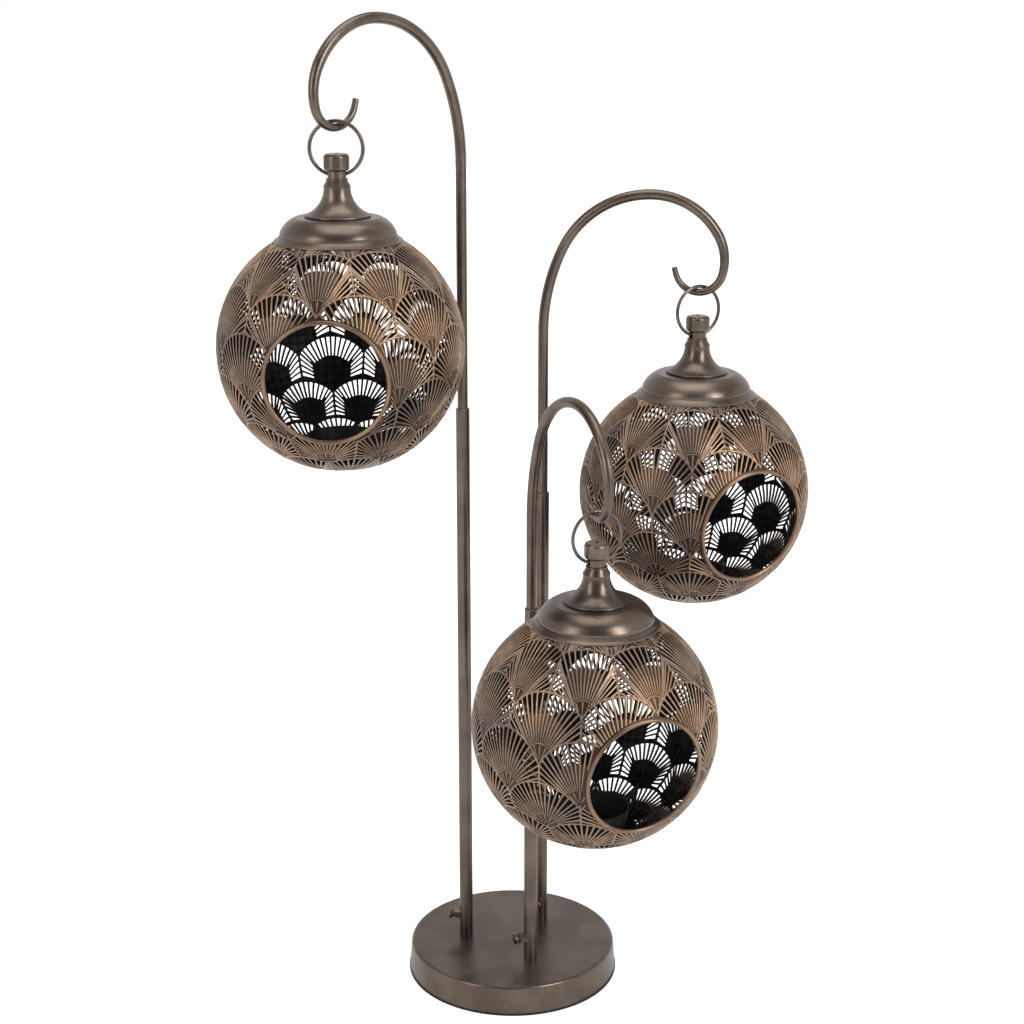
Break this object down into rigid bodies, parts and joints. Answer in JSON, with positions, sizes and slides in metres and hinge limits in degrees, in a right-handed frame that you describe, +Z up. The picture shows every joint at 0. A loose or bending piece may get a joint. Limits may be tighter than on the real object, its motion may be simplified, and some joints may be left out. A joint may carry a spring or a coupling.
{
  "type": "candle holder",
  "caption": "Free-standing candle holder: pierced fan-pattern globes hang by wire rings from hooked posts of stepped height on a round weighted base.",
  "frame": {"origin": "middle of the base's underside", "axes": "+Z up along the posts; the pictured front faces -Y and +X is to its right"},
  "size_m": [0.4396, 0.3361, 0.764],
  "materials": {
    "bronze": "antique bronze, satin, worn lighter on the high spots",
    "copper_brown": "antique copper brown, satin, darker in the hollows",
    "copper_rim": "lighter antique copper, satin",
    "black": "matt black paint",
    "bare_steel": "plain steel",
    "cast_weight": "rough casting",
    "pad": "matt"
  },
  "bodies": {
    "base": {"base_cover": "bronze", "base_weight": "cast_weight", "foot_pad": "pad", "spigots": "bare_steel", "spigot_washers": "bare_steel", "spigot_nuts": "bare_steel", "tall_lower_tube": "bronze", "tall_clamp_nut": "bronze", "mid_lower_tube": "bronze", "mid_clamp_nut": "bronze", "short_lower_tube": "bronze", "short_clamp_nut": "bronze"},
    "tall_screw": {"tall_clamp_screw": "bronze"},
    "tall_crook": {"tall_crook": "bronze"},
    "tall_ring": {"tall_hanging_ring": "bronze"},
    "tall_lantern": {"tall_finial": "bronze", "tall_bell": "bronze", "tall_dome": "bronze", "tall_hanger_rod": "bare_steel", "tall_hanger_washer": "bare_steel", "tall_hanger_nut": "bare_steel", "tall_globe": "copper_brown", "tall_mouth_rim": "copper_rim", "tall_candle_cup": "black", "tall_cup_rivet": "black"},
    "mid_screw": {"mid_clamp_screw": "bronze"},
    "mid_crook": {"mid_crook": "bronze"},
    "mid_ring": {"mid_hanging_ring": "bronze"},
    "mid_lantern": {"mid_finial": "bronze", "mid_bell": "bronze", "mid_dome": "bronze", "mid_hanger_rod": "bare_steel", "mid_hanger_washer": "bare_steel", "mid_hanger_nut": "bare_steel", "mid_globe": "copper_brown", "mid_mouth_rim": "copper_rim", "mid_candle_cup": "black", "mid_cup_rivet": "black"},
    "short_screw": {"short_clamp_screw": "bronze"},
    "short_crook": {"short_crook": "bronze"},
    "short_ring": {"short_hanging_ring": "bronze"},
    "short_lantern": {"short_finial": "bronze", "short_bell": "bronze", "short_dome": "bronze", "short_hanger_rod": "bare_steel", "short_hanger_washer": "bare_steel", "short_hanger_nut": "bare_steel", "short_globe": "copper_brown", "short_mouth_rim": "copper_rim", "short_candle_cup": "black", "short_cup_rivet": "black"}
  },
  "joints": [
    {"name": "tall_swivel", "type": "hinge", "parent": "base", "child": "tall_crook", "pos_m": [-0.03804, 0.00528, 0.382], "axis": [0, 0, 1], "range_deg": [-40, 10]},
    {"name": "tall_clamp_turn", "type": "hinge", "parent": "base", "child": "tall_screw", "pos_m": [-0.03804, 0.00528, 0.0425], "axis": [-1, 0, 0], "range_deg": [0, 720]},
    {"name": "tall_ring_swing", "type": "hinge", "parent": "tall_crook", "child": "tall_ring", "pos_m": [-0.12231, -0.07725, 0.68731], "axis": [-0.7145, -0.6997, 0], "range_deg": [-6, 6]},
    {"name": "tall_lantern_swing", "type": "hinge", "parent": "tall_ring", "child": "tall_lantern", "pos_m": [-0.12231, -0.07725, 0.65443], "axis": [0.9986, -0.0523, 0], "range_deg": [-6, 6]},
    {"name": "mid_swivel", "type": "hinge", "parent": "base", "child": "mid_crook", "pos_m": [0.02359, 0.0303, 0.31675], "axis": [0, 0, 1], "range_deg": [0, 40]},
    {"name": "mid_clamp_turn", "type": "hinge", "parent": "base", "child": "mid_screw", "pos_m": [0.02359, 0.0303, 0.0425], "axis": [-0.342, -0.9397, 0], "range_deg": [0, 720]},
    {"name": "mid_ring_swing", "type": "hinge", "parent": "mid_crook", "child": "mid_ring", "pos_m": [0.14028, 0.01307, 0.55681], "axis": [0.9893, -0.1461, 0], "range_deg": [-6, 6]},
    {"name": "mid_lantern_swing", "type": "hinge", "parent": "mid_ring", "child": "mid_lantern", "pos_m": [0.14028, 0.01307, 0.52393], "axis": [0.8746, 0.4848, 0], "range_deg": [-6, 6]},
    {"name": "short_swivel", "type": "hinge", "parent": "base", "child": "short_crook", "pos_m": [0.01445, -0.03558, 0.2515], "axis": [0, 0, 1], "range_deg": [-20, 0]},
    {"name": "short_clamp_turn", "type": "hinge", "parent": "base", "child": "short_screw", "pos_m": [0.01445, -0.03558, 0.0425], "axis": [-0.9659, -0.2588, 0], "range_deg": [0, 720]},
    {"name": "short_ring_swing", "type": "hinge", "parent": "short_crook", "child": "short_ring", "pos_m": [0.05883, -0.14487, 0.42631], "axis": [0.3762, -0.9265, 0], "range_deg": [-6, 6]},
    {"name": "short_lantern_swing", "type": "hinge", "parent": "short_ring", "child": "short_lantern", "pos_m": [0.05883, -0.14487, 0.39343], "axis": [0.9135, 0.4067, 0], "range_deg": [-6, 6]}
  ]
}
